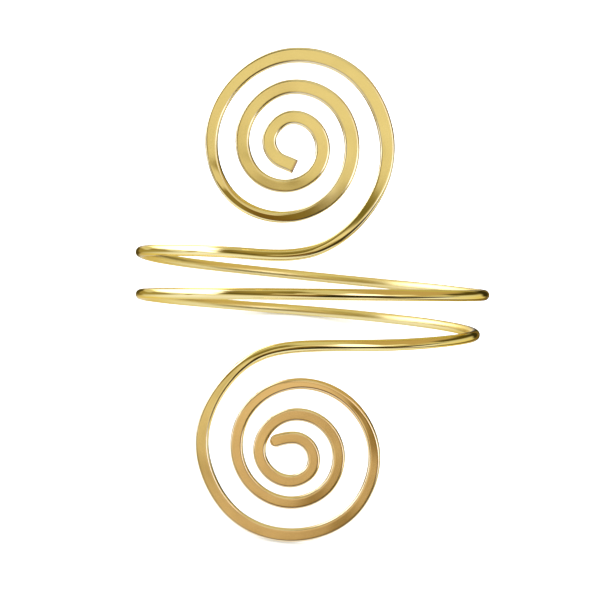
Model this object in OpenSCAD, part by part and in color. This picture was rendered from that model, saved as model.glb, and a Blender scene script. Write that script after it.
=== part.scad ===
// Upper arm cuff: one bent wire that makes an upper scroll, a coil of two turns round the
// arm and a lower scroll. Sizes are in millimetres. The wire is laid out as it is worn, with
// X to the right and Y away from the eye of someone facing the scrolls and Z up the arm, and
// is then set down as it comes to rest: leaning back on the lower scroll and the coil.

/* [Wire] */
// Thickness of the round wire
wire = 2.6; // [2:0.1:3.2]
// Share of the wire's thickness that full hammering takes away
hammer_depth = 0.36; // [0.2:0.02:0.42]
// Width of a hammered face against the plain cut through a round wire at that depth
face_spread = 1.22; // [1:0.02:1.3]

/* [Coil] */
// Free width inside the coil, where the arm goes
arm_opening = 79.2; // [66:0.2:100]
// Height from the coil's lower front end to its upper one
coil_rise = 20.2; // [16:0.2:28]

/* [Scrolls] */
// Reach of the upper scroll's outer ring from its eye
upper_reach = 20; // [17:0.5:24]
// Reach of the lower scroll's outer ring from its eye
lower_reach = 20; // [17:0.5:24]

/* [Ends] */
// Length of the worn edge at the upper scroll's inner end, which is cut square
upper_edge = 0.25; // [0.1:0.05:0.5]
// Length of the rounding at the lower scroll's inner end
lower_edge = 1.1; // [0.4:0.05:1.4]
// Gap between the lower scroll's inner end and the ring that it points at
end_gap = 0.2; // [0.15:0.05:0.8]

/* [Fineness] */
// Sides of the wire
sides = 12; // [8:2:12]
// Rings between two rows of a table
steps = 5; // [3:1:5]

/* [Hidden] */

// Where the scroll's eye lies from the coil's end that runs into it, as shares of its reach:
// to the right, and up for the upper scroll or down for the lower one
UPPER_EYE = [-0.24, 1.14];
LOWER_EYE = [-0.21, 1.125];

// Columns of the scroll rows: turns, clockwise from the eye's right; distance of the wire's
// middle from the eye, as a share of the reach; hammering, from 0 for round to 1 for flat
TURN = 0;
SHARE = 1;
HAMMER = 2;
UPPER_ROWS = [
    [0.215, 0.250, 0.85],
    [0.285, 0.205, 0.85],
    [0.375, 0.205, 0.85],
    [0.500, 0.220, 0.80],
    [0.625, 0.240, 0.80],
    [0.750, 0.280, 0.80],
    [0.875, 0.310, 0.85],
    [1.000, 0.345, 0.90],
    [1.125, 0.395, 0.80],
    [1.250, 0.445, 0.70],
    [1.375, 0.485, 0.75],
    [1.500, 0.505, 0.80],
    [1.625, 0.540, 0.85],
    [1.750, 0.605, 0.90],
    [1.875, 0.645, 1.00],
    [2.000, 0.660, 0.95],
    [2.125, 0.710, 0.80],
    [2.250, 0.775, 0.40],
    [2.375, 0.830, 0.20],
    [2.500, 0.835, 0.60],
    [2.625, 0.860, 0.80],
    [2.750, 0.940, 0.95],
    [2.875, 1.005, 1.00],
    [3.000, 1.035, 0.95],
    [3.110, 1.080, 0.30],
];
LOWER_ROWS = [
    [-0.375, 0.185, 0.60],
    [-0.250, 0.150, 0.60],
    [-0.125, 0.165, 0.60],
    [0.000, 0.210, 0.60],
    [0.125, 0.275, 0.60],
    [0.250, 0.310, 0.60],
    [0.375, 0.330, 0.60],
    [0.500, 0.355, 0.60],
    [0.625, 0.365, 0.60],
    [0.750, 0.395, 0.60],
    [0.875, 0.435, 0.60],
    [1.000, 0.485, 0.60],
    [1.125, 0.525, 0.55],
    [1.250, 0.540, 0.55],
    [1.375, 0.555, 0.60],
    [1.500, 0.595, 0.60],
    [1.625, 0.655, 0.50],
    [1.750, 0.720, 0.25],
    [1.875, 0.790, 0.15],
    [2.000, 0.865, 0.45],
    [2.125, 0.895, 0.60],
    [2.250, 0.885, 0.70],
    [2.375, 0.910, 0.70],
    [2.500, 0.960, 0.70],
    [2.600, 1.007, 0.40],
    [2.690, 1.083, 0.00],
];
// Turns of the lower scroll's inner end, whose distance from the eye follows from end_gap,
// and the size of its rounded tip against the full wire
LOWER_END_TURN = -0.44;
LOWER_TIP = 0.4;
UPPER_TIP = 0.9;

// Columns of the coil rows: turns, clockwise seen from above, from the middle of the front;
// height as a share of coil_rise above the lower end; reach as a share of the coil's radius
RISE = 1;
WIDTH = 2;
COIL_ROWS = [
    [0.0000, 1.000, 1.00],
    [0.0625, 0.985, 1.00],
    [0.1250, 1.025, 1.00],
    [0.1875, 1.045, 1.00],
    [0.2500, 1.035, 1.00],
    [0.3125, 0.990, 1.00],
    [0.3750, 0.930, 1.00],
    [0.4375, 0.860, 1.00],
    [0.5000, 0.780, 1.00],
    [0.5625, 0.700, 1.00],
    [0.6250, 0.630, 1.00],
    [0.6875, 0.570, 1.00],
    [0.7500, 0.540, 1.00],
    [0.8125, 0.528, 1.00],
    [0.8750, 0.530, 1.00],
    [0.9375, 0.537, 1.00],
    [1.0000, 0.545, 1.00],
    [1.0625, 0.552, 1.00],
    [1.1250, 0.555, 1.00],
    [1.1875, 0.553, 1.00],
    [1.2500, 0.540, 1.00],
    [1.3125, 0.500, 1.00],
    [1.3750, 0.447, 1.00],
    [1.4375, 0.387, 1.00],
    [1.5000, 0.325, 0.99],
    [1.5625, 0.255, 0.98],
    [1.6250, 0.187, 0.965],
    [1.6875, 0.127, 0.95],
    [1.7500, 0.080, 0.945],
    [1.8125, 0.050, 0.95],
    [1.8750, 0.023, 0.965],
    [1.9375, 0.003, 0.985],
    [2.0000, 0.000, 1.00],
];
// Turns past which the coil's rings can touch the surface, and the same for the lower scroll
LOW_COIL_TURN = 1.2;
LOW_RING_TURN = 1.9;

coil_radius = arm_opening / 2 + wire / 2;

// A hammered wire keeps its cross-section. The blow leaves two flat faces, each half this
// wide, and presses the sides out into half ellipses that hold what is left of the area.
function half_depth(hammer) = wire / 2 * (1 - hammer_depth * hammer);
function half_face(hammer) =
    face_spread * sqrt(max(0, pow(wire / 2, 2) - pow(half_depth(hammer), 2)));
function side_bulge(hammer) =
    (PI * pow(wire / 2, 2) - 4 * half_face(hammer) * half_depth(hammer))
    / (PI * half_depth(hammer));
function half_width(hammer) = half_face(hammer) + side_bulge(hammer);

// The lower inner end reaches as far out as leaves the gap to the ring one turn further on
lower_end_reach = lower_reach * LOWER_ROWS[8][SHARE]
    - half_width(LOWER_ROWS[8][HAMMER]) - LOWER_TIP * half_width(LOWER_ROWS[0][HAMMER]) - end_gap;
lower_rows = concat([[LOWER_END_TURN, lower_end_reach / lower_reach, LOWER_ROWS[0][HAMMER]]],
    LOWER_ROWS);

// A knot is a point of the wire's middle, the direction that its flat face looks and its
// hammering, in one list of seven numbers
FRONT = [0, -1, 0];
function scroll_knot(row, reach, eye) =
    let (distance = reach * row[SHARE], angle = 360 * row[TURN])
    concat(eye + distance * [cos(angle), 0, -sin(angle)], FRONT, row[HAMMER]);
function coil_knot(row) =
    let (angle = 360 * row[TURN], outward = [-sin(angle), -cos(angle), 0])
    concat(coil_radius * row[WIDTH] * outward + [0, 0, coil_rise * row[RISE]], outward, 0);
upper_eye = upper_reach * [UPPER_EYE[0], 0, UPPER_EYE[1]] + [0, -coil_radius, coil_rise];
lower_eye = lower_reach * [LOWER_EYE[0], 0, -LOWER_EYE[1]] + [0, -coil_radius, 0];
last_lower = len(lower_rows) - 1;
knots = concat(
    [for (row = UPPER_ROWS) scroll_knot(row, upper_reach, upper_eye)],
    [for (row = COIL_ROWS) coil_knot(row)],
    [for (i = [last_lower : -1 : 0]) scroll_knot(lower_rows[i], lower_reach, lower_eye)]
);
first_low_coil = len(UPPER_ROWS) + len([for (row = COIL_ROWS) if (row[TURN] < LOW_COIL_TURN) 1]);
last_coil = len(UPPER_ROWS) + len(COIL_ROWS) - 1;
last_low_ring = last_coil + len([for (row = lower_rows) if (row[TURN] > LOW_RING_TURN) 1]);

// A smooth curve through the knots: a cubic B-spline, whose control points are moved by
// what the curve still misses at each knot until it runs through them all
function missed(knots, controls, i) =
    i == 0 || i == len(knots) - 1 ? knots[i] - controls[i] :
    knots[i] - (controls[i - 1] + 4 * controls[i] + controls[i + 1]) / 6;
function settled(knots, controls, passes) =
    passes == 0 ? controls :
    settled(knots, [for (i = [0 : len(knots) - 1]) controls[i] + missed(knots, controls, i)],
        passes - 1);
controls = settled(knots, knots, 12);

function before(i) = i > 0 ? controls[i - 1] : 2 * controls[0] - controls[1];
function after(i) = i + 2 < len(controls) ? controls[i + 2] : 2 * controls[i + 1] - controls[i];
function blend(i, weights) =
    weights * [before(i), controls[i], controls[i + 1], after(i)];
function span(u) = min(floor(u), len(controls) - 2);
function curve(u) =
    let (i = span(u), t = u - i)
    blend(i, [pow(1 - t, 3), 3 * pow(t, 3) - 6 * pow(t, 2) + 4,
        -3 * pow(t, 3) + 3 * pow(t, 2) + 3 * t + 1, pow(t, 3)] / 6);
function slope(u) =
    let (i = span(u), t = u - i)
    blend(i, [-pow(1 - t, 2), 3 * pow(t, 2) - 4 * t, -3 * pow(t, 2) + 2 * t + 1, pow(t, 2)] / 2);
function first_three(list) = [list[0], list[1], list[2]];
function next_three(list) = [list[3], list[4], list[5]];
function unit(v) = v / norm(v);

// One ring of the wire: its section square to the run of the wire, its flat face outwards
function section_point(k, hammer) =
    let (angle = (k + 0.5) * 360 / sides, around = 1 / cos(180 / sides))
    [sign(cos(angle)) * half_face(hammer) + side_bulge(hammer) * around * cos(angle),
        half_depth(hammer) * around * sin(angle)];
start_point = first_three(curve(0));
end_point = first_three(curve(len(knots) - 1));
function worn_size(distance, edge, tip) =
    1 - (1 - tip) * pow(max(0, 1 - distance / edge), 2);
function size_at(point) =
    worn_size(norm(point - start_point), upper_edge, UPPER_TIP)
    * worn_size(norm(point - end_point), lower_edge, LOWER_TIP);
function ring(u) =
    let (here = curve(u), point = first_three(here), along = unit(first_three(slope(u))),
        facing = next_three(here), outward = unit(facing - (facing * along) * along),
        across = cross(along, outward), hammer = min(1, max(0, here[6])), size = size_at(point))
    [for (k = [0 : sides - 1])
        let (at = size * section_point(k, hammer)) point + at[0] * across + at[1] * outward];
// Rings stand close together at the two ends, where the edges are worn
end_steps = [0, 0.05, 0.11];
last_knot = len(knots) - 1;
places = concat(end_steps, [for (i = [1 : last_knot * steps - 1]) i / steps],
    [for (i = [2 : -1 : 0]) last_knot - end_steps[i]]);
rings = [for (u = places) ring(u)];

// How the cuff rests. It leans back until the lower scroll and the low side of the coil
// touch the surface together, and tips sideways until its centre of mass is lowest.
middles = [for (u = places) first_three(curve(u))];
pieces = [for (i = [1 : len(middles) - 1]) norm(middles[i] - middles[i - 1])];
total_length = pieces * [for (p = pieces) 1];
centre = [for (i = [1 : len(middles) - 1]) pieces[i - 1]]
    * [for (i = [1 : len(middles) - 1]) (middles[i] + middles[i - 1]) / 2] / total_length;
function touching(from, to) =
    [for (i = [0 : len(places) - 1]) if (places[i] >= from && places[i] <= to) each rings[i]];
coil_points = touching(first_low_coil, last_coil);
scroll_points = touching(last_coil, last_low_ring);
function up_for(lean, tip) = [sin(tip), -cos(tip) * sin(lean), cos(tip) * cos(lean)];
function lowest(points, up) = min([for (p = points) p * up]);
function lean_for(tip, low, high, tries) =
    let (middle = (low + high) / 2, up = up_for(middle, tip))
    tries == 0 ? middle :
    lowest(scroll_points, up) < lowest(coil_points, up) ? lean_for(tip, middle, high, tries - 1) :
    lean_for(tip, low, middle, tries - 1);
function settled_lean(tip) = lean_for(tip, 5, 60, 16);
function centre_height(tip) =
    let (up = up_for(settled_lean(tip), tip)) centre * up - lowest(scroll_points, up);
function settled_tip(low, high, tries) =
    let (third = (high - low) / 3)
    tries == 0 ? (low + high) / 2 :
    centre_height(low + third) < centre_height(high - third) ?
    settled_tip(low, high - third, tries - 1) :
    settled_tip(low + third, high, tries - 1);
rest_tip = settled_tip(-15, 25, 14);
up = up_for(settled_lean(rest_tip), rest_tip);
right = unit([up[2], 0, -up[0]]);
back = cross(up, right);
turned = [for (r = rings) each [for (p = r) [p * right, p * back, p * up]]];
function least(axis) = min([for (p = turned) p[axis]]);
function most(axis) = max([for (p = turned) p[axis]]);
foot = [(least(0) + most(0)) / 2, (least(1) + most(1)) / 2, least(2)];
placed = [for (p = turned) p - foot];

// Two triangles join each side of a ring to the next ring, and a flat face closes each end
function side_faces(i, k) =
    let (a = i * sides + k, b = i * sides + (k + 1) % sides)
    [[a, b, a + sides], [b, b + sides, a + sides]];
skin = [for (i = [0 : len(rings) - 2]) for (k = [0 : sides - 1]) each side_faces(i, k)];
start_cap = [[for (k = [sides - 1 : -1 : 0]) k]];
end_cap = [[for (k = [0 : sides - 1]) (len(rings) - 1) * sides + k]];

module cuff() {
    color("goldenrod")
        polyhedron(points = placed, faces = concat(skin, start_cap, end_cap), convexity = 12);
}

cuff();
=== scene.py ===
"""Looks of the upper arm cuff: one gold-coloured wire, round in its two-turn coil and hammered
flat in the scrolls above and below. Lengths in the tables are in millimetres or shares."""

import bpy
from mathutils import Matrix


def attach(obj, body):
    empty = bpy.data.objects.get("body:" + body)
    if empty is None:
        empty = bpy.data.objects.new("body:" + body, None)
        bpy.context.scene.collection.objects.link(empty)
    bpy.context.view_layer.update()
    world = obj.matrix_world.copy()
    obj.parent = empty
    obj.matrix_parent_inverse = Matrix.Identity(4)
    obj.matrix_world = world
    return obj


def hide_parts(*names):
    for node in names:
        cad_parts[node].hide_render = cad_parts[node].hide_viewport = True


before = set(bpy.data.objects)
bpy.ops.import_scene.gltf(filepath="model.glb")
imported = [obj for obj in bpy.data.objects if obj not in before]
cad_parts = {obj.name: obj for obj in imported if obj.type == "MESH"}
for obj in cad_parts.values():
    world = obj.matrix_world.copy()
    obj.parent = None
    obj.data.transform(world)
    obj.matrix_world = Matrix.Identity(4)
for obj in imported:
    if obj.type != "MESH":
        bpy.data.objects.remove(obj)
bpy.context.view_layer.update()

import bpy
import numpy as np
from mathutils import Matrix, Vector

MM = 0.001

# Wire: its thickness, the share that full hammering takes away, and the width of a hammered
# face against the plain cut through a round wire at that depth
WIRE = 2.6
HAMMER_DEPTH = 0.36
FACE_SPREAD = 1.22

# Coil and scrolls: where the scrolls' eyes lie from the coil's ends, as shares of their reach,
# the gap between the lower scroll's inner end and the ring beside it, which is the row of that
# number, the turn of that end, and the share of its half width that its tip adds
COIL_INSIDE = 79.2
COIL_RADIUS = COIL_INSIDE / 2 + WIRE / 2
COIL_RISE = 20.2
REACH = 20.0
UPPER_EYE = (-0.24, 1.14)
LOWER_EYE = (-0.21, 1.125)
END_GAP = 0.2
RING_BESIDE_END = 8
LOWER_END_TURN = -0.44
LOWER_TIP = 0.4

# Turn, share of the reach, hammering, lean of the face about the wire in degrees
UPPER_ROWS = np.array([
    (0.215, 0.250, 0.85, 0), (0.285, 0.205, 0.85, 0), (0.375, 0.205, 0.85, 0),
    (0.500, 0.220, 0.80, 0), (0.625, 0.240, 0.80, 0), (0.750, 0.280, 0.80, 0),
    (0.875, 0.310, 0.85, 0), (1.000, 0.345, 0.90, 0), (1.125, 0.395, 0.80, -2),
    (1.250, 0.445, 0.70, -6), (1.375, 0.485, 0.75, -8), (1.500, 0.505, 0.80, -2),
    (1.625, 0.540, 0.85, 0), (1.750, 0.605, 0.90, 0), (1.875, 0.645, 1.00, 0),
    (2.000, 0.660, 0.95, 0), (2.125, 0.710, 0.80, -7), (2.250, 0.775, 0.30, -9.5),
    (2.375, 0.830, 0.12, -13), (2.500, 0.835, 0.60, -1), (2.625, 0.860, 0.80, 0),
    (2.750, 0.940, 0.95, 0), (2.875, 1.005, 1.00, 0), (3.000, 1.035, 0.95, -1),
    (3.110, 1.080, 0.30, 10),
])
LOWER_ROWS = np.array([
    (-0.375, 0.185, 0.60, 0), (-0.250, 0.150, 0.60, 0), (-0.125, 0.165, 0.60, 0),
    (0.000, 0.210, 0.60, 0), (0.125, 0.275, 0.60, 0), (0.250, 0.310, 0.60, 0),
    (0.375, 0.330, 0.60, 0), (0.500, 0.355, 0.60, 0), (0.625, 0.365, 0.60, 0),
    (0.750, 0.395, 0.60, 0), (0.875, 0.435, 0.60, 0), (1.000, 0.485, 0.60, 0),
    (1.125, 0.525, 0.55, 0), (1.250, 0.540, 0.55, 2), (1.375, 0.555, 0.60, 0),
    (1.500, 0.595, 0.60, 0), (1.625, 0.655, 0.50, 0), (1.750, 0.720, 0.25, 0),
    (1.875, 0.790, 0.15, 0), (2.000, 0.865, 0.45, 0), (2.125, 0.895, 0.60, 0),
    (2.250, 0.885, 0.70, 0), (2.375, 0.910, 0.70, 0), (2.500, 0.960, 0.70, 4),
    (2.600, 1.007, 0.40, 7), (2.690, 1.083, 0.00, 0),
])
# Height and reach of the coil at each sixteenth of a turn, as shares of its rise and radius.
# The reach is full for the first turn and a half
TURN_PARTS = 16
COIL_RISES = np.array([
    1.000, 0.985, 1.025, 1.045, 1.035, 0.990, 0.930, 0.860, 0.780, 0.700, 0.630,
    0.570, 0.540, 0.528, 0.530, 0.537, 0.545, 0.552, 0.555, 0.553, 0.540, 0.500,
    0.447, 0.387, 0.325, 0.255, 0.187, 0.127, 0.080, 0.050, 0.023, 0.003, 0.000,
])
COIL_WIDTHS = np.append(np.ones(TURN_PARTS * 3 // 2), (
    0.990, 0.980, 0.965, 0.950, 0.945, 0.950, 0.965, 0.985, 1.000))

# The rest pose: the surface's upward direction as the worn cuff sees it, and the place on the
# turned cuff, in mm, that comes to the frame's origin
UP = np.array((0.112291, -0.501977, 0.857561))
FOOT = np.array((-2.06547, -6.33298, -16.1147))
RIGHT = np.array((UP[2], 0.0, -UP[0])) / np.hypot(UP[0], UP[2])
WORN_TO_PART = np.array((RIGHT, np.cross(UP, RIGHT), UP))

# Ends of the wire: the small rounding of the square cut, the length of the rounded tip, and
# how far past each end the along_wire map puts the end's middle
CUT_EDGE = 0.22
TIP_LENGTH = 1.5
MAP_MARGIN = 0.5

# Handwork: the wire's thickness as a share of its plain size, and its unevenness along its
# length, in rows of size, length in mm and start. A twist's size is in degrees and a swell's
# is a share of the thickness
SLIMMING = 0.98
TWISTS = ((1.3, 31.0, 0.4), (0.9, 17.0, 2.1), (0.6, 9.3, 4.0))
SWELLS = ((0.004, 23.0, 1.0), (0.003, 11.0, 3.0), (0.002, 6.1, 0.3))

# Changes of finish on the wire: width of the change from a face to its rim, the hammering
# from which a rim is full, depth of the change from the polished outside to the satin inside,
# and how far the painted shade on the cut end reaches, in lengths of its edge
RIM_WIDTH = 0.16
FULL_RIM = 0.5
INSIDE_WIDTH = 0.65
CUT_SHADE_REACH = 1.6

# Fineness of the mesh: length of a ring, points in a quarter of a ring, the share of its
# length that the flat stretch counts for when they are shared out, sizes of the rings on the
# cut end from its middle out, rings on its edge, and rings on the rounded tip
RING_STEP = 0.46
QUARTER = 10
FLAT_COUNT = 0.55
CUT_RINGS = (0.3, 0.6, 0.84, 0.9)
EDGE_RINGS = 5
TIP_RINGS = 15

# Fineness of the path: passes that settle the curve, steps between two rows for its length,
# and how far before and after a ring its direction is taken, in rows
SETTLING = 12
PATH_STEPS = 60
LOOK_AROUND = 0.02


def at_rest(points):
    """Points of the worn cuff turned and set down into the part's frame, in metres."""
    return (points @ WORN_TO_PART.T - FOOT) * MM


def half_depth(hammer):
    """Half the thickness: the radius less what hammering takes away."""
    return WIRE / 2 * (1 - HAMMER_DEPTH * hammer)


def half_face(hammer):
    """Half the flat face: the half chord of a round wire at that depth, spread a little."""
    return FACE_SPREAD * np.sqrt(np.maximum(0, (WIRE / 2) ** 2 - half_depth(hammer) ** 2))


def side_bulge(hammer):
    """How far the half ellipse beside the face stands out: what is left of the round wire's
    area, divided between two half ellipses as deep as the wire."""
    left = np.pi * (WIRE / 2) ** 2 - 4 * half_face(hammer) * half_depth(hammer)
    return left / (np.pi * half_depth(hammer))


def scroll_knots(rows, eye_share, side):
    """Points of a scroll: distance from the eye is the reach times the row's share, and the
    turn is taken clockwise from the eye's right. The face looks forward. Columns are the
    point, the facing, the hammering and the lean."""
    turn = 2 * np.pi * rows[:, 0]
    far = REACH * rows[:, 1]
    eye = (REACH * eye_share[0], REACH * eye_share[1] * side + COIL_RISE * (side > 0))
    zero = np.zeros(len(rows))
    return np.column_stack((eye[0] + far * np.cos(turn), zero - COIL_RADIUS,
                            eye[1] - far * np.sin(turn), zero, zero - 1, zero, rows[:, 2],
                            rows[:, 3]))


def coil_knots():
    """Points of the coil: a circle run clockwise seen from above, from the middle of the
    front, with the tables' heights and reaches. The facing is straight out of the circle."""
    turn = 2 * np.pi * np.arange(len(COIL_RISES)) / TURN_PARTS
    out = np.column_stack((-np.sin(turn), -np.cos(turn), 0 * turn))
    points = COIL_RADIUS * COIL_WIDTHS[:, None] * out
    points[:, 2] = COIL_RISE * COIL_RISES
    return np.column_stack((points, out, 0 * turn, 0 * turn))


def settled(knots):
    """Control points of a cubic B-spline through the knots: each is moved by what the curve
    still misses at its knot, the curve there being (before + 4 own + after) / 6. One more is
    added past each end, in line with the last two."""
    controls = knots.copy()
    for _ in range(SETTLING):
        curve = controls.copy()
        curve[1:-1] = (controls[:-2] + 4 * controls[1:-1] + controls[2:]) / 6
        controls = controls + knots - curve
    return np.vstack((2 * controls[:1] - controls[1:2], controls,
                      2 * controls[-1:] - controls[-2:-1]))


def along_curve(controls, u):
    """The cubic B-spline at u: the four control points round it, weighted by the usual cubic
    blends of the share t of the way through the span."""
    i = np.clip(np.floor(u).astype(int), 0, len(controls) - 4)
    t = (u - i)[:, None]
    weights = ((1 - t) ** 3, 3 * t ** 3 - 6 * t ** 2 + 4, -3 * t ** 3 + 3 * t ** 2 + 3 * t + 1,
               t ** 3)
    return sum(w * controls[i + j] for j, w in enumerate(weights)) / 6


def waver(distance, waves):
    """A smooth unevenness along the wire: the sum of sines, each with its own size, length
    and start, so that it never repeats within the cuff."""
    return sum(size * np.sin(2 * np.pi * distance / length + start)
               for size, length, start in waves)


def wire_path():
    """The middle line of the wire, with its facing, hammering and lean. The lower scroll's
    inner end stands off from the ring beside it by the gap. Returns the curve's controls, its
    length and a function from distances to u."""
    top = scroll_knots(UPPER_ROWS, UPPER_EYE, 1)
    hammers = LOWER_ROWS[[0, RING_BESIDE_END], 2]
    end_width, ring_width = half_face(hammers) + side_bulge(hammers)
    end_reach = (REACH * LOWER_ROWS[RING_BESIDE_END, 1] - ring_width - LOWER_TIP * end_width
                 - END_GAP)
    end_row = (LOWER_END_TURN, end_reach / REACH, LOWER_ROWS[0, 2], 0)
    low = scroll_knots(np.vstack((end_row, LOWER_ROWS))[::-1], LOWER_EYE, -1)
    controls = settled(np.vstack((top, coil_knots(), low)))
    spans = len(controls) - 3
    u = np.linspace(0, spans, spans * PATH_STEPS + 1)
    points = along_curve(controls, u)[:, :3]
    run = np.append(0, np.cumsum(np.linalg.norm(np.diff(points, axis=0), axis=1)))
    return controls, run[-1], lambda distance: np.interp(distance, run, u)


def section(hammer, width, depth):
    """Outline of the wire's cross-section, one row for each ring: in each quarter a flat
    stretch out to half the face, then a quarter of an ellipse. Points are shared out over
    the quarter by length, with the flat stretch counted at less than its length. Returns
    across, outward and how far each point is over the rim of the face: none on the face, all
    of the way on the sides."""
    face, bulge, deep = half_face(hammer), side_bulge(hammer), half_depth(hammer)
    flat_part = FLAT_COUNT * face
    curved_part = np.pi / 2 * np.sqrt((bulge ** 2 + deep ** 2) / 2)
    share = np.arange(QUARTER + 1) / QUARTER
    place = share[None] * (flat_part + curved_part)[:, None]
    angle = np.clip((place - flat_part[:, None]) / curved_part[:, None], 0, 1) * np.pi / 2
    on_face = np.minimum(place / FLAT_COUNT, face[:, None])
    across = on_face + bulge[:, None] * np.sin(angle)
    outward = deep[:, None] * np.cos(angle)
    over = np.clip((place - flat_part[:, None]) / RIM_WIDTH + 0.5, 0, 1)
    rim = over * np.minimum(1, hammer / FULL_RIM)[:, None]
    back = slice(QUARTER - 1, 0, -1)
    x = np.hstack((across, across[:, back], -across, -across[:, back]))
    z = np.hstack((outward, -outward[:, back], -outward, outward[:, back]))
    over_rim = np.hstack((rim, rim[:, back], rim, rim[:, back]))
    return x * width[:, None], z * depth[:, None], over_rim


def rings_of_the_wire(length):
    """Distance along the wire, width and depth of each ring, the last two as shares. The
    start is cut square: a flat end and a small rounded edge. At the end the width is rounded
    off as half an ellipse, and the depth falls short by the cube of what the width falls
    short by, so that it keeps its size until close to the tip. Between them the rings are
    even."""
    bend = np.linspace(0, np.pi / 2, EDGE_RINGS + 1)[1:]
    flat_end = CUT_RINGS[-1]
    start_far = np.concatenate((np.zeros(len(CUT_RINGS)), CUT_EDGE * (1 - np.cos(bend))))
    start_size = np.concatenate((CUT_RINGS, flat_end + (1 - flat_end) * np.sin(bend)))
    round_off = np.linspace(np.pi / 2, 0, TIP_RINGS + 1)[:-1]
    end_far = length - TIP_LENGTH * (1 - np.cos(round_off))
    end_width = np.sin(round_off)
    end_depth = 1 - (1 - end_width) ** 3
    count = int((length - CUT_EDGE - TIP_LENGTH) / RING_STEP)
    even = np.linspace(CUT_EDGE, length - TIP_LENGTH, count + 1)[1:-1]
    ones = np.ones(len(even))
    return (np.concatenate((start_far, even, end_far)),
            np.concatenate((start_size, ones, end_width)),
            np.concatenate((start_size, ones, end_depth)))


def skin_faces(rings, around):
    """Corners and number of sides of each face: a quad between two rings and two neighbouring
    places round them, and at each end a fan of triangles to the pole, which are the last two
    points."""
    i = np.arange(rings - 1)[:, None] * around
    k = np.arange(around)[None]
    k_next = (k + 1) % around
    quads = np.stack((i + k, i + k_next, i + around + k_next, i + around + k), -1).reshape(-1, 4)
    last = (rings - 1) * around
    pole = rings * around
    first_fan = np.column_stack((np.full(around, pole), k_next[0], k[0]))
    last_fan = np.column_stack((np.full(around, pole + 1), last + k[0], last + k_next[0]))
    corners = np.concatenate((quads.ravel(), first_fan.ravel(), last_fan.ravel()))
    return corners, np.concatenate((np.full(len(quads), 4), np.full(2 * around, 3)))


def wire_map(distance, around, length):
    """The along_wire map, for each face's corners in order: how far along the wire, and how
    far round it on the girth of a round wire, both in millimetres. The poles lie past the ends."""
    girth = np.linspace(0, 1, around + 1) * np.pi * WIRE
    quads = np.empty((len(distance) - 1, around, 4, 2))
    quads[..., 0, 0] = quads[..., 1, 0] = distance[:-1, None]
    quads[..., 2, 0] = quads[..., 3, 0] = distance[1:, None]
    quads[..., 0, 1] = quads[..., 3, 1] = girth[None, :-1]
    quads[..., 1, 1] = quads[..., 2, 1] = girth[None, 1:]
    fans = np.zeros((2, around, 3, 2))
    fans[0, ..., 0] = -MAP_MARGIN
    fans[1, ..., 0] = length + MAP_MARGIN
    fans[:, :, 1, 1] = girth[None, :-1]
    fans[:, :, 2, 1] = girth[None, 1:]
    return np.concatenate((quads.ravel(), fans.ravel()))


def unit(vectors):
    return vectors / np.linalg.norm(vectors, axis=1)[:, None]


def wire_axes(controls, u, distance):
    """Middle and hammering of each ring, and the two axes of its section. Outward is the
    path's facing made square to the wire and leaned about it by the rows' lean, with a waver
    of a degree or two where the wire is hammered. Across is square to it and to the wire."""
    here = along_curve(controls, u)
    ahead = along_curve(controls, np.minimum(u + LOOK_AROUND, len(controls) - 3))
    behind = along_curve(controls, np.maximum(u - LOOK_AROUND, 0))
    along = unit(ahead[:, :3] - behind[:, :3])
    facing = unit(here[:, 3:6] - (here[:, 3:6] * along).sum(1)[:, None] * along)
    hammer = np.clip(here[:, 6], 0, 1)
    lean = np.radians(waver(distance, TWISTS) * hammer + here[:, 7])[:, None]
    outward = facing * np.cos(lean) + np.cross(along, facing) * np.sin(lean)
    return here[:, :3], hammer, np.cross(along, outward), outward


def smooth_mesh(name, vertices, corners, sides):
    """A mesh shaded smooth, from its points in metres, its faces' corners in one list and
    each face's number of sides."""
    mesh = bpy.data.meshes.new(name)
    mesh.vertices.add(len(vertices))
    mesh.vertices.foreach_set("co", vertices.ravel())
    mesh.loops.add(len(corners))
    mesh.loops.foreach_set("vertex_index", corners.astype(np.int32))
    mesh.polygons.add(len(sides))
    starts = np.concatenate(((0,), np.cumsum(sides)[:-1]))
    mesh.polygons.foreach_set("loop_start", starts.astype(np.int32))
    mesh.update(calc_edges=True)
    mesh.validate()
    mesh.shade_smooth()
    return mesh


def add_values(mesh, name, values):
    """A named value on each point. The two poles take those of the first and last points."""
    with_poles = np.concatenate((values, (values[0], values[-1])))
    layer = mesh.attributes.new(name, "FLOAT", "POINT")
    layer.data.foreach_set("value", with_poles.astype(np.float32))


def build_cuff():
    """The wire's skin: each point is the path's middle plus its place in the section, across
    and outward. The section is a little slimmer than its plain size, and it swells and
    shrinks by under a hundredth, as in a wire hammered and bent by hand."""
    controls, length, to_u = wire_path()
    distance, width, depth = rings_of_the_wire(length)
    middle, hammer, across, outward = wire_axes(controls, to_u(distance), distance)
    swell = SLIMMING * (1 + waver(distance, SWELLS))
    x, z, rim = section(hammer, width * swell, depth * swell)
    skin = middle[:, None] + x[:, :, None] * across[:, None] + z[:, :, None] * outward[:, None]
    rings, around = x.shape
    vertices = np.vstack((at_rest(skin.reshape(-1, 3)), at_rest(middle[[0, -1]])))
    mesh = smooth_mesh("arm_cuff", vertices, *skin_faces(rings, around))
    layer = mesh.uv_layers.new(name="along_wire")
    layer.data.foreach_set("uv", wire_map(distance, around, length))
    # Painted shade: the cut end and a short way past it are darkened to brown, standing in for the
    # dark line of its grazing edge
    cut_shade = np.clip(CUT_SHADE_REACH - distance / CUT_EDGE, 0, 1)
    add_values(mesh, "hammered", np.repeat(hammer, around))
    add_values(mesh, "rim", rim.ravel())
    add_values(mesh, "run", np.repeat(distance / length, around))
    add_values(mesh, "cut", np.repeat(cut_shade, around))
    add_values(mesh, "inside", np.clip(-z / INSIDE_WIDTH, 0, 1).ravel())
    cuff = bpy.data.objects.new("arm_cuff", mesh)
    bpy.context.scene.collection.objects.link(cuff)
    return cuff


# Node helpers

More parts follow.
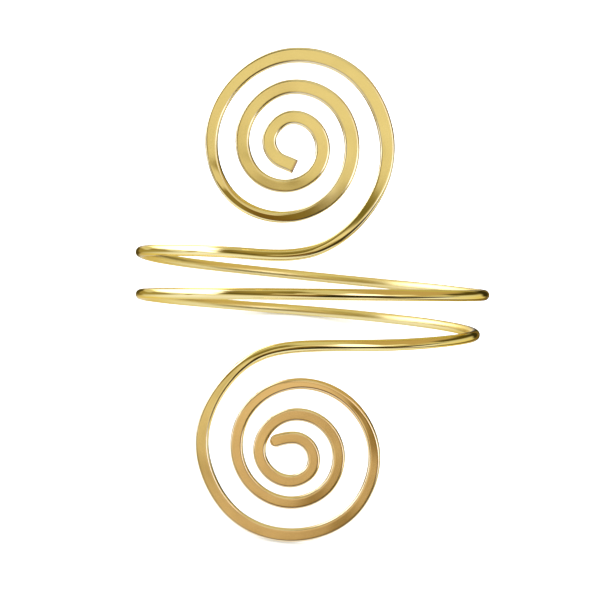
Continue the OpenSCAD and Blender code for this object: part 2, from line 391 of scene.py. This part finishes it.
def link(tree, source, target):
    tree.links.new(source, target)


def new_node(tree, kind, **settings):
    """A node of that kind. A setting named after one of its inputs, or numbered in_0, in_1
    and so on, fills that input: a socket is linked and anything else is its value."""
    node = tree.nodes.new(kind)
    for name, value in settings.items():
        if name.startswith("in_"):
            key = name[3:]
            socket = node.inputs[int(key) if key.isdigit() else key.replace("_", " ")]
            if isinstance(value, bpy.types.NodeSocket):
                link(tree, value, socket)
            else:
                socket.default_value = value
        else:
            setattr(node, name, value)
    return node


def maths(tree, operation, a, b=0.0, clamp=False):
    return new_node(tree, "ShaderNodeMath", operation=operation, use_clamp=clamp,
                    in_0=a, in_1=b).outputs[0]


def product(tree, *values):
    """All the values multiplied, one after another."""
    total = values[0]
    for value in values[1:]:
        total = maths(tree, "MULTIPLY", total, value)
    return total


def mixed(tree, share, a, b):
    """Two colours mixed by a share. Inputs 6 and 7 of a mix node are its two colours, and
    output 2 is the mixed one."""
    return new_node(tree, "ShaderNodeMix", data_type="RGBA", in_0=share, in_6=a,
                    in_7=b).outputs[2]


def ranged(tree, value, low, high, to_low=0.0, to_high=1.0, smooth=False):
    """A value's range carried over to another range, and held within it."""
    return new_node(tree, "ShaderNodeMapRange", clamp=True,
                    interpolation_type="SMOOTHSTEP" if smooth else "LINEAR",
                    in_0=value, in_1=low, in_2=high, in_3=to_low, in_4=to_high).outputs[0]


def new_group(name, inputs, outputs):
    """An empty node group. Each input is a (name, kind, value) and each output a (name,
    kind)."""
    group = bpy.data.node_groups.new(name, "ShaderNodeTree")
    for label, kind, value in inputs:
        socket = group.interface.new_socket(label, in_out="INPUT", socket_type=kind)
        if value is not None:
            socket.default_value = value
    for label, kind in outputs:
        group.interface.new_socket(label, in_out="OUTPUT", socket_type=kind)
    inside = group.nodes.new("NodeGroupInput")
    out = group.nodes.new("NodeGroupOutput")
    return group, inside.outputs, out.inputs


def new_material(name):
    """A node material. Returns it, its tree and its shader."""
    material = bpy.data.materials.new(name)
    material.use_nodes = True
    tree = material.node_tree
    return material, tree, tree.nodes["Principled BSDF"]


# Finish: colours of the plating on the upper and lower parts and on rubbed rims, the dark brown
# painted as shade on the cut end, and the colour of the metal's edge as it turns away from the eye
UPPER_GOLD = (0.82, 0.64, 0.19, 1)
LOWER_GOLD = (0.82, 0.54, 0.175, 1)
RUBBED_GOLD = (0.88, 0.74, 0.36, 1)
# Painted shade on the cut end: a dark brown standing in for the dark line where its edge is seen
# at a grazing angle
CUT_END_SHADE = (0.30, 0.17, 0.07, 1)
EDGE_TINT = (0.82, 0.70, 0.42, 1)
# Shares of the wire's length between which the upper gold turns into the lower one, how much
# of the other gold a cloud brings, and how much paler a rim is rubbed
LOWER_PART = (0.78, 0.82)
CLOUD_SHARE = 0.12
RIM_RUBBING = 0.8
# Roughness of the round wire, the hammered faces and the inside, what the grain adds to it,
# and the hammering between which a face turns from bright to satin
ROUND_ROUGHNESS = 0.06
FACE_ROUGHNESS = 0.19
INSIDE_ROUGHNESS = 0.33
GRAIN_ROUGHNESS = (-0.01, 0.02)
SATIN_HAMMERING = (0.3, 0.6)
# Patterns: how fine the grain, the blows, the clouds and the floor's mottle are, as the scale
# of the pattern per metre, how the die's lines are drawn out along the wire, and heights in
# metres
GRAIN_FINENESS = 2600.0
BLOW_FINENESS = 240.0
CLOUD_FINENESS = 90.0
MOTTLE_FINENESS = 9.0
LINE_STRETCH = (0.12, 9.0, 1.0)
LINE_HEIGHT = 1.2e-6
GRAIN_HEIGHT = 0.4e-6
BLOW_HEIGHT = 2.2e-5
# Values that a noise pattern keeps between, nearly everywhere
NOISE_LOW, NOISE_HIGH = 0.3, 0.7
# The floor's two whites and its roughness
FLOOR_WHITES = ((0.93, 0.93, 0.93, 1), (0.95, 0.95, 0.945, 1))
FLOOR_ROUGHNESS = 0.8


def gold_tone_group():
    """Colour of the plating: it shades from one gold to another along the wire, with soft
    clouds of each, and turns paler where the rims are rubbed. At the cut end it is painted dark
    brown as shade."""
    group, given, out = new_group("gold tone", (
        ("First Gold", "NodeSocketColor", None), ("Second Gold", "NodeSocketColor", None),
        ("Rubbed Gold", "NodeSocketColor", None), ("Bare Metal", "NodeSocketColor", None),
        ("Change", "NodeSocketFloat", 0.0), ("Rim", "NodeSocketFloat", 0.0),
        ("Cut", "NodeSocketFloat", 0.0), ("Clouds per Metre", "NodeSocketFloat", CLOUD_FINENESS)),
        (("Colour", "NodeSocketColor"),))
    place = new_node(group, "ShaderNodeTexCoord").outputs["Object"]
    clouds = new_node(group, "ShaderNodeTexNoise", in_Vector=place,
                      in_Scale=given["Clouds per Metre"], in_Detail=2.0).outputs[0]
    even = ranged(group, clouds, NOISE_LOW, NOISE_HIGH, -CLOUD_SHARE, CLOUD_SHARE)
    share = maths(group, "ADD", given["Change"], even, clamp=True)
    colour = mixed(group, share, given["First Gold"], given["Second Gold"])
    rubbed = product(group, given["Rim"], RIM_RUBBING)
    plated = mixed(group, rubbed, colour, given["Rubbed Gold"])
    # The cut end is mixed to the dark brown that is painted there as shade
    link(group, mixed(group, given["Cut"], plated, given["Bare Metal"]), out["Colour"])
    return group


def surface_marks_group():
    """Fine relief: lines that the drawing die left along the wire, and the dull grain and
    shallow blows of the hammered faces. Height is in metres."""
    group, given, out = new_group("surface marks", (
        ("Hammered", "NodeSocketFloat", 0.0), ("Lines", "NodeSocketFloat", 1.0),
        ("Grain", "NodeSocketFloat", 1.0)),
        (("Height", "NodeSocketFloat"), ("Grain", "NodeSocketFloat")))
    place = new_node(group, "ShaderNodeTexCoord").outputs["Object"]
    along = new_node(group, "ShaderNodeUVMap", uv_map="along_wire").outputs[0]
    stretched = new_node(group, "ShaderNodeMapping", in_Vector=along,
                         in_Scale=LINE_STRETCH).outputs[0]
    lines = new_node(group, "ShaderNodeTexNoise", noise_dimensions="2D", in_Vector=stretched,
                     in_Scale=1.0, in_Detail=2.0).outputs[0]
    grain = new_node(group, "ShaderNodeTexNoise", in_Vector=place, in_Scale=GRAIN_FINENESS,
                     in_Detail=3.0).outputs[0]
    blows = new_node(group, "ShaderNodeTexNoise", in_Vector=place, in_Scale=BLOW_FINENESS,
                     in_Detail=1.0).outputs[0]
    line_height = product(group, lines, given["Lines"], LINE_HEIGHT)
    grain_height = product(group, grain, given["Grain"], GRAIN_HEIGHT, given["Hammered"])
    blow_height = product(group, blows, given["Hammered"], BLOW_HEIGHT)
    fine = maths(group, "ADD", line_height, grain_height)
    link(group, maths(group, "ADD", fine, blow_height), out["Height"])
    link(group, grain, out["Grain"])
    return group


def gold_finish(name, tone_group, marks_group):
    """Polished plate on brass: mirror-bright on the round wire, satin on the hammered faces
    and on the side that lies against the arm, bright again on the faces' rims."""
    material, tree, shader = new_material(name)
    shader.inputs["Metallic"].default_value = 1.0
    shader.inputs["Specular Tint"].default_value = EDGE_TINT
    hammered, rim, run, cut, inside = (
        new_node(tree, "ShaderNodeAttribute", attribute_name=label).outputs["Fac"]
        for label in ("hammered", "rim", "run", "cut", "inside"))
    # The tone group gets the dark brown that is painted as shade on the cut end
    tone = new_node(tree, "ShaderNodeGroup", node_tree=tone_group, in_First_Gold=UPPER_GOLD,
                    in_Second_Gold=LOWER_GOLD, in_Rubbed_Gold=RUBBED_GOLD,
                    in_Bare_Metal=CUT_END_SHADE, in_Change=ranged(tree, run, *LOWER_PART),
                    in_Rim=rim, in_Cut=cut).outputs["Colour"]
    marks = new_node(tree, "ShaderNodeGroup", node_tree=marks_group,
                     in_Hammered=hammered).outputs
    satin = product(tree, ranged(tree, hammered, *SATIN_HAMMERING),
                    maths(tree, "SUBTRACT", 1.0, rim))
    rough = maths(tree, "MAXIMUM",
                  ranged(tree, satin, 0.0, 1.0, ROUND_ROUGHNESS, FACE_ROUGHNESS),
                  ranged(tree, inside, 0.0, 1.0, ROUND_ROUGHNESS, INSIDE_ROUGHNESS))
    uneven = ranged(tree, marks["Grain"], NOISE_LOW, NOISE_HIGH, *GRAIN_ROUGHNESS)
    bump = new_node(tree, "ShaderNodeBump", in_Strength=1.0, in_Distance=1.0,
                    in_Height=marks["Height"]).outputs[0]
    link(tree, tone, shader.inputs["Base Color"])
    link(tree, maths(tree, "ADD", rough, uneven), shader.inputs["Roughness"])
    link(tree, bump, shader.inputs["Normal"])
    return material


def floor_finish():
    """White card, a little mottled."""
    material, tree, shader = new_material("white card")
    shader.inputs["Roughness"].default_value = FLOOR_ROUGHNESS
    place = new_node(tree, "ShaderNodeTexCoord").outputs["Object"]
    mottle = new_node(tree, "ShaderNodeTexNoise", in_Vector=place,
                      in_Scale=MOTTLE_FINENESS).outputs[0]
    link(tree, mixed(tree, mottle, *FLOOR_WHITES), shader.inputs["Base Color"])
    return material


# Studio: what the metal mirrors. Each card hangs far away: the direction of its middle
# (degrees to the right of the camera's side, degrees above the horizon), its turn, half its
# width and height and the softness of its edge, in degrees, and its brightness in red, green
# and blue. A later card covers an earlier one.
CARDS = (
    ("brown wall on the right", 112, 45, 0, 55, 30, 8, 0.63, 0.51, 0.37),
    ("floor behind", 180, -45, 0, 40, 22, 8, 1.05, 1.02, 0.85),
    ("soft box on the left", -118, 23, 18, 42, 15, 5, 3.1, 3.5, 6.2),
    ("foot of the soft box", -98, 5, 0, 40, 8, 4, 3.1, 3.5, 6.2),
    ("table on the left", -97, -36, 0, 32, 14, 6, 1.2, 1.35, 2.5),
    ("dark wall behind on the left", -151, -27, 0, 13, 8, 4, 0.16, 0.13, 0.05),
    ("wall behind", 171, 19, -3, 23, 18, 8, 0.68, 0.68, 0.48),
    ("skirting on the left", -112, -16, 0, 13, 6, 5, 0.36, 0.28, 0.11),
    ("post on the left", -76, -13, 0, 3, 11, 3, 0.55, 0.46, 0.24),
    ("slanting flag on the left", -45, 42, 45, 25, 31, 4, 0.24, 0.20, 0.085),
    ("dark flag on the left", -29, 20, -21, 28, 25, 9, 0.32, 0.26, 0.12),
    ("dim flag high on the left", -46, 54, 0, 20, 13, 5, 0.42, 0.36, 0.17),
    ("dark flag high on the left", -22, 51, 0, 12, 8, 5, 0.20, 0.18, 0.06),
    ("black flag on the left", -46, 15, -1, 15, 7, 5, 0.12, 0.11, 0.04),
    ("black flag under the lens", 0, 2, -3, 13, 17, 6, 0.22, 0.14, 0.045),
    ("dark flag under the glow", 9, 21, 0, 7, 8, 4, 0.26, 0.20, 0.07),
    ("white strip on the right", 38, 26, -57, 23, 12, 4, 2.2, 2.4, 4.5),
    ("end of the white strip", 61, 19, -4.5, 12, 7, 5, 1.2, 1.25, 1.6),
    ("glow on the upper scroll", 6, 39, 0, 16, 6, 2.5, 1.03, 1.01, 1.17),
    ("glow on the lower scroll", -12.5, 24.5, -4, 13.5, 6, 2, 0.92, 0.88, 0.98),
    ("black flag on the right", 130, 5, -15, 27, 10, 6, 0.11, 0.09, 0.025),
    ("black flag behind on the right", 159, -19, -30, 17, 14, 5, 0.05, 0.045, 0.02),
    ("table on the right", 116, -26, 0, 19, 9, 5, 1.0, 1.0, 0.95),
    ("brown flag low on the right", 54, -15, 0, 14, 12, 5, 0.16, 0.12, 0.04),
    ("dark flag low in front", 30, -2, -20, 22, 17, 4, 0.03, 0.025, 0.012),
)
# Cards that lie on the floor beside the cuff and that only the metal sees: middle, half width
# and half length, softness, all in mm, turn in degrees, and brightness
FLOOR_CARDS = (
    ("dark cloth in front on the right", 233, -177, 180, 172, 14, 34, 0.06, 0.05, 0.02),
    ("dark cloth by the right side", 66, 13, 9, 115, 6, 3, 0.24, 0.18, 0.06),
    ("dim cloth by the left side", -101, 39, 64, 34, 26, 52, 0.47, 0.43, 0.27),
    ("dark cloth behind the left side", -69, 67, 10, 28, 5, 27, 0.12, 0.10, 0.035),
)
# The room round the cards: the upward part of a direction, and brightness
ROOM = (
    (-1.0, 1.00, 1.12, 1.90),
    (-0.7, 1.10, 1.22, 2.10),
    (-0.45, 1.10, 1.23, 2.15),
    (0.0, 0.75, 0.75, 0.70),
    (0.45, 0.65, 0.56, 0.52),
    (1.0, 0.80, 0.84, 0.90),
)
# Height of the lowest floor card, and of each over the one before, in mm, the brightness of
# the pale sky that the camera and the floor see, half the floor's size in metres, and cells
# along a side of the floor and of a card on it
FLOOR_CARD_LIFT = 0.2
SKY = 2.1
FLOOR_HALF = 4.0
FLOOR_CELLS = 8
CARD_CELLS = 4


def card_share_group():
    """Share of a card at a place: the distances across and upward from its middle fall off
    smoothly from its half width and half height, over its softness to each side."""
    group, given, out = new_group("card share", (
        ("Across", "NodeSocketFloat", 0.0), ("Upward", "NodeSocketFloat", 0.0),
        ("Half Width", "NodeSocketFloat", 10.0), ("Half Height", "NodeSocketFloat", 10.0),
        ("Soft", "NodeSocketFloat", 5.0)), (("Share", "NodeSocketFloat"),))
    shares = []
    for place, half in (("Across", "Half Width"), ("Upward", "Half Height")):
        outside = maths(group, "SUBTRACT", maths(group, "ABSOLUTE", given[place]), given[half])
        shares.append(ranged(group, maths(group, "DIVIDE", outside, given["Soft"]),
                             -1.0, 1.0, 1.0, 0.0, smooth=True))
    link(group, maths(group, "MULTIPLY", *shares), out["Share"])
    return group


def card_angles_group():
    """Angles in degrees of a direction from a card's middle: across it by the arc tangent of
    its two level parts, and upward by the arc sine of its upward part."""
    group, given, out = new_group("card angles", (
        ("Direction", "NodeSocketVector", None), ("Middle", "NodeSocketVector", None),
        ("Across", "NodeSocketVector", None), ("Upward", "NodeSocketVector", None)),
        (("Across", "NodeSocketFloat"), ("Upward", "NodeSocketFloat")))

    def part(name):
        return new_node(group, "ShaderNodeVectorMath", operation="DOT_PRODUCT",
                        in_0=given["Direction"], in_1=given[name]).outputs["Value"]

    degrees = 180 / np.pi
    sideways = maths(group, "ARCTAN2", part("Across"), part("Middle"))
    link(group, maths(group, "MULTIPLY", sideways, degrees), out["Across"])
    upward = maths(group, "ARCSINE", part("Upward"))
    link(group, maths(group, "MULTIPLY", upward, degrees), out["Upward"])
    return group


def directions(azimuth, elevation, roll):
    """The middle of a card and its two turned axes, from angles in degrees."""
    a, e, r = np.radians((azimuth, elevation, roll))
    middle = np.array((np.sin(a) * np.cos(e), -np.cos(a) * np.cos(e), np.sin(e)))
    level = np.array((np.cos(a), np.sin(a), 0.0))
    upward = np.cross(level, middle)
    upward = -upward if upward[2] < 0 else upward
    return (middle, np.cos(r) * level + np.sin(r) * upward,
            np.cos(r) * upward - np.sin(r) * level)


def room_colour(tree, direction):
    """Brightness of the room by the height of the direction, as a ramp of the ROOM rows."""
    height = new_node(tree, "ShaderNodeSeparateXYZ", in_0=direction).outputs["Z"]
    ramp = new_node(tree, "ShaderNodeValToRGB", in_0=ranged(tree, height, -1.0, 1.0))
    elements = ramp.color_ramp.elements
    elements.remove(elements[1])
    for index, (z, *colour) in enumerate(ROOM):
        place = (z + 1) / 2
        element = elements[0] if index == 0 else elements.new(place)
        element.position = place
        element.color = (*colour, 1)
    return ramp.outputs[0]


def card_share(tree, share_group, across, upward, wide, high, soft):
    """The share group placed in a tree with one card's sizes."""
    return new_node(tree, "ShaderNodeGroup", node_tree=share_group, in_Across=across,
                    in_Upward=upward, in_Half_Width=wide, in_Half_Height=high,
                    in_Soft=soft).outputs["Share"]


def light_the_studio(share_group):
    """A pale even sky for the camera and the floor, and for mirror-like reflections the room
    with its softboxes and dark cards."""
    world = bpy.data.worlds.new("studio")
    bpy.context.scene.world = world
    world.use_nodes = True
    tree = world.node_tree
    tree.nodes.clear()
    direction = new_node(tree, "ShaderNodeTexCoord").outputs["Generated"]
    colour = room_colour(tree, direction)
    angles_group = card_angles_group()
    for name, azimuth, elevation, roll, wide, high, soft, *level in CARDS:
        middle, across, upward = directions(azimuth, elevation, roll)
        angles = new_node(tree, "ShaderNodeGroup", node_tree=angles_group, label=name,
                          in_Direction=direction, in_Middle=middle, in_Across=across,
                          in_Upward=upward).outputs
        share = card_share(tree, share_group, angles["Across"], angles["Upward"], wide, high,
                           soft)
        colour = mixed(tree, share, colour, (*level, 1))
    mirrored = new_node(tree, "ShaderNodeBackground", in_Color=colour)
    sky = new_node(tree, "ShaderNodeBackground", in_Color=(1.0, 1.0, 1.0, 1), in_Strength=SKY)
    path = new_node(tree, "ShaderNodeLightPath")
    both = new_node(tree, "ShaderNodeMixShader", in_0=path.outputs["Is Glossy Ray"],
                    in_1=sky.outputs[0], in_2=mirrored.outputs[0])
    new_node(tree, "ShaderNodeOutputWorld", in_Surface=both.outputs[0])


def sheet_grid(half_across, half_upward, cells):
    """A flat grid of that many cells a side: both parameters run from less half a size to
    half a size. Returns its points, two columns, and its faces, facing up."""
    line = np.linspace(-1, 1, cells + 1)
    x, y = np.meshgrid(half_across * line, half_upward * line, indexing="ij")
    corner = (np.arange(cells)[:, None] * (cells + 1) + np.arange(cells)[None]).ravel()
    faces = np.column_stack((corner, corner + cells + 1, corner + cells + 2, corner + 1))
    return np.column_stack((x.ravel(), y.ravel())), faces


def floor_card_material(name, share_group, wide, long, soft, level):
    """A card's even dull light, fading out over its soft edge."""
    material, tree, _ = new_material(name)
    material.cycles.emission_sampling = "NONE"
    tree.nodes.clear()
    place = new_node(tree, "ShaderNodeUVMap", uv_map="from_middle").outputs[0]
    parts = new_node(tree, "ShaderNodeSeparateXYZ", in_0=place).outputs
    share = card_share(tree, share_group, parts["X"], parts["Y"], wide, long, soft)
    glow = new_node(tree, "ShaderNodeEmission", in_Color=(*level, 1))
    clear = new_node(tree, "ShaderNodeBsdfTransparent")
    both = new_node(tree, "ShaderNodeMixShader", in_0=share, in_1=clear.outputs[0],
                    in_2=glow.outputs[0])
    new_node(tree, "ShaderNodeOutputMaterial", in_Surface=both.outputs[0])
    return material


def stage_sheet(name, points, faces, material):
    """A flat sheet of the studio, from its points in metres."""
    mesh = bpy.data.meshes.new(name)
    mesh.from_pydata(points.tolist(), [], faces.tolist())
    mesh.materials.append(material)
    sheet = bpy.data.objects.new(name, mesh)
    bpy.context.scene.collection.objects.link(sheet)
    return sheet


def lay_floor_cards(share_group):
    """Each card is a flat grid a little above the floor, turned about its middle, with its
    own millimetres from the middle as its UV map. Only mirror-like reflections see it."""
    for layer_up, (name, x, y, wide, long, soft, turn, *level) in enumerate(FLOOR_CARDS, 1):
        local, faces = sheet_grid(wide + soft, long + soft, CARD_CELLS)
        c, s = np.cos(np.radians(turn)), np.sin(np.radians(turn))
        points = np.column_stack((x + local[:, 0] * c - local[:, 1] * s,
                                  y + local[:, 0] * s + local[:, 1] * c,
                                  np.full(len(local), FLOOR_CARD_LIFT * layer_up))) * MM
        card = stage_sheet(name, points, faces,
                           floor_card_material(name, share_group, wide, long, soft, level))
        layer = card.data.uv_layers.new(name="from_middle")
        layer.data.foreach_set("uv", local[faces.ravel()].ravel())
        card.visible_camera = card.visible_diffuse = card.visible_shadow = False
        card.visible_transmission = False


def build_floor():
    """A wide level sheet, hidden from mirror-like reflections, which see the room instead."""
    level, faces = sheet_grid(FLOOR_HALF, FLOOR_HALF, FLOOR_CELLS)
    points = np.column_stack((level, np.zeros(len(level))))
    floor = stage_sheet("floor", points, faces, floor_finish())
    floor.visible_glossy = False


# Camera: size of the picture, focal length and the middle of the view in its pixels, width of
# the sensor, distance from the coil's front and height over its lower end in mm, and the
# nearest and farthest that it sees, in metres
PIXELS = 600
FOCAL = 1504
VIEW_MIDDLE = (312.5, 294.5)
SENSOR = 36.0
CAMERA_DISTANCE = 320.0
CAMERA_HEIGHT = 10.97
CLIP = (0.01, 50.0)


def place_camera():
    """The camera stands in front of the coil, looking level at the worn cuff: in the part's
    frame that is from above, a little turned. Its focal length and shift give the
    photograph's framing."""
    eye = at_rest(np.array((0.0, -COIL_RADIUS - CAMERA_DISTANCE, CAMERA_HEIGHT)))
    right, forward, upward = WORN_TO_PART.T
    data = bpy.data.cameras.new("camera")
    data.sensor_width = SENSOR
    data.lens = FOCAL / PIXELS * SENSOR
    data.shift_x = (PIXELS / 2 - VIEW_MIDDLE[0]) / PIXELS
    data.shift_y = (VIEW_MIDDLE[1] - PIXELS / 2) / PIXELS
    data.clip_start, data.clip_end = CLIP
    camera = bpy.data.objects.new("camera", data)
    axes = np.column_stack((right, upward, -forward))
    camera.matrix_world = Matrix.Translation(Vector(eye)) @ Matrix(axes.tolist()).to_4x4()
    bpy.context.scene.collection.objects.link(camera)
    bpy.context.scene.camera = camera


place_camera()
soft_card = card_share_group()
light_the_studio(soft_card)
lay_floor_cards(soft_card)
build_floor()
bpy.context.scene.view_settings.view_transform = "Standard"

cuff = build_cuff()
cuff.data.materials.append(gold_finish("gold wire", gold_tone_group(), surface_marks_group()))
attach(cuff, "root")
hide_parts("cuff")
